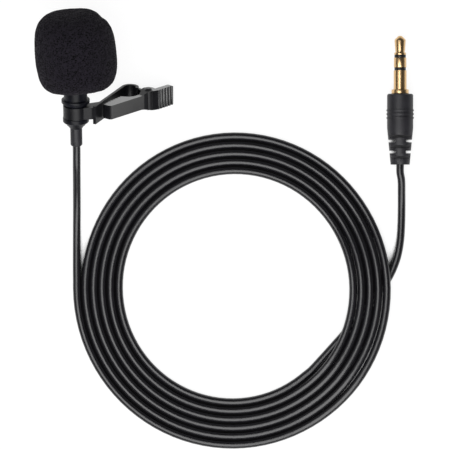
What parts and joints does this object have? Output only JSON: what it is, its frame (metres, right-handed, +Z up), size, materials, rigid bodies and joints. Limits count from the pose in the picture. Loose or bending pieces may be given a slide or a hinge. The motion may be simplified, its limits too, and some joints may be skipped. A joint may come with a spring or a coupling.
{
  "type": "lavalier microphone",
  "caption": "Clip-on lavalier microphone with foam windscreen, swivelling sprung clip and a coiled lead that ends in a 3.5 mm stereo plug.",
  "frame": {"origin": "on the table, under the middle of the box round the microphone and its clip, without the lead and plug", "axes": "+Z up off the table; +Y from the strain relief towards the windscreen's crown, and the way the plug's shaft points; +X from the microphone towards the clip's grip and the plug"},
  "size_m": [0.1025, 0.1192, 0.0327],
  "materials": {
    "foam": "open-cell polyurethane foam, matte",
    "housing_black": "black anodised aluminium, satin",
    "grille_black": "black painted metal",
    "felt": "fine felt",
    "can": "drawn aluminium",
    "boot_rubber": "soft rubber",
    "board": "glass-fibre board",
    "lead_red": "PVC insulation",
    "clip_plastic": "moulded ABS, semi-gloss",
    "pin_steel": "blackened steel",
    "spring_steel": "spring steel wire",
    "relief_pvc": "moulded PVC, satin",
    "gold": "gold-plated brass",
    "insulator": "moulded nylon",
    "core_pe": "moulded polyethylene",
    "cord_pvc": "soft PVC sheath, semi-gloss"
  },
  "bodies": {
    "microphone": {"mic_housing": "housing_black", "grille_cap": "grille_black", "dust_felt": "felt", "capsule_can": "can", "capsule_boot": "boot_rubber", "capsule_board": "board", "capsule_leads": "lead_red", "rear_cap": "housing_black", "mic_relief": "relief_pvc", "cord_lead": "cord_pvc", "cord_coil": "cord_pvc", "cord_tail": "cord_pvc", "plug_tip": "gold", "plug_insulator_front": "insulator", "plug_ring": "gold", "plug_insulator_rear": "insulator", "plug_sleeve": "gold", "plug_core": "core_pe", "plug_grip": "relief_pvc"},
    "windscreen": {"foam_windscreen": "foam"},
    "clip": {"clip_holder": "clip_plastic", "clip_spring": "spring_steel"},
    "jaw": {"clip_jaw": "clip_plastic", "clip_pin": "pin_steel"}
  },
  "joints": [
    {"name": "windscreen_pull", "type": "slide", "parent": "microphone", "child": "windscreen", "axis": [0, 0.9272, 0.3746], "range_m": [0, 0.02]},
    {"name": "clip_swivel", "type": "hinge", "parent": "microphone", "child": "clip", "pos_m": [-0.00747, -0.00899, 0.01466], "axis": [0, 0.9272, 0.3746], "continuous": true},
    {"name": "jaw_open", "type": "hinge", "parent": "clip", "child": "jaw", "pos_m": [0.01178, -0.00537, 0.0057], "axis": [0, 0.9272, 0.3746], "range_deg": [0, 25], "stiffness_Nm_per_rad": 0.02, "springref_deg": -34.38, "deforming": ["clip_spring"]}
  ]
}
